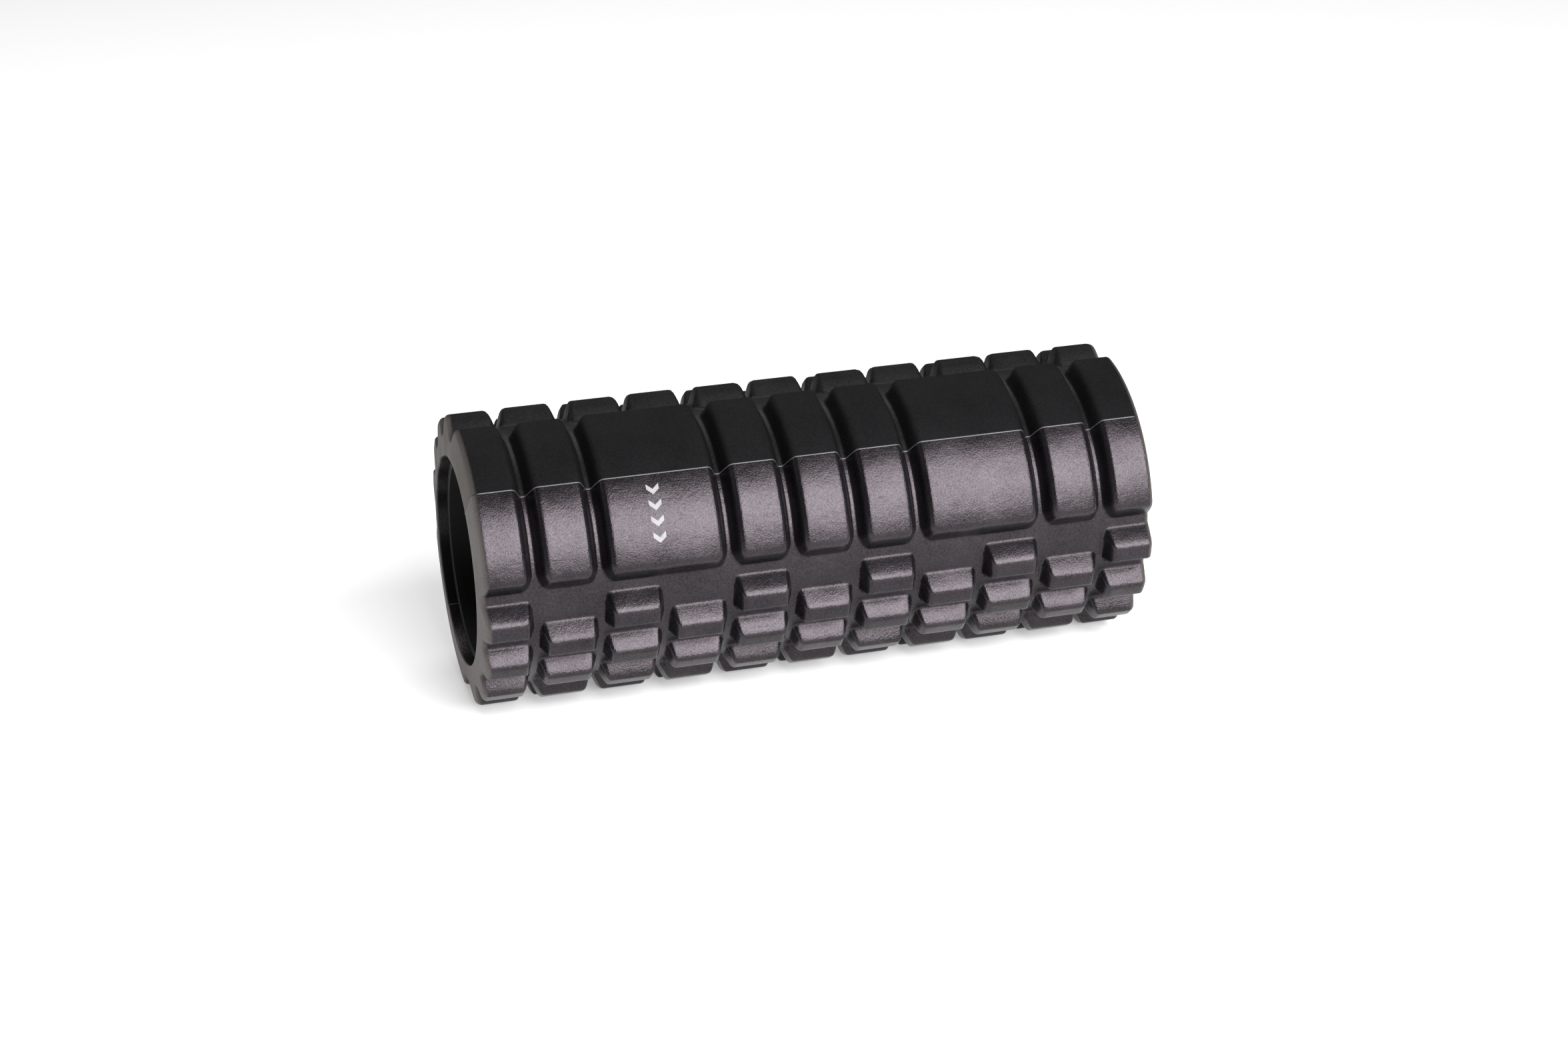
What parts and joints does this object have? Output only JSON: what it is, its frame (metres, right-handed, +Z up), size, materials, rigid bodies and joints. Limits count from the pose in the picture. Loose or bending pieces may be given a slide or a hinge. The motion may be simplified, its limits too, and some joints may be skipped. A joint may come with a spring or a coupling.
{
  "type": "foam roller",
  "caption": "Hollow massage roller: two bonded foam half shells with long blocks and staggered lugs round a rigid plastic core tube.",
  "frame": {"origin": "centre of the bore, half way along the roller", "axes": "+X along the roller's axis, +Z up with the roller at rest on a floor, -Y the side with the printed mark"},
  "size_m": [0.33, 0.1391, 0.1387],
  "materials": {
    "core_plastic": "extruded black plastic pipe, dull",
    "satin_foam": "moulded closed-cell foam with a satin skin and fine grain",
    "matte_foam": "moulded closed-cell foam with a dull skin and fine grain",
    "adhesive": "cured contact adhesive film",
    "seam_adhesive": "cured contact adhesive, glossy where it is squeezed out",
    "print_ink": "light grey screen print"
  },
  "bodies": {
    "root": {"core_tube": "core_plastic", "lower_foam_shell": "satin_foam", "upper_foam_shell": "matte_foam", "lower_core_bond": "adhesive", "upper_core_bond": "adhesive", "front_seam_bond": "seam_adhesive", "rear_seam_bond": "seam_adhesive", "printed_mark": "print_ink"}
  },
  "joints": []
}
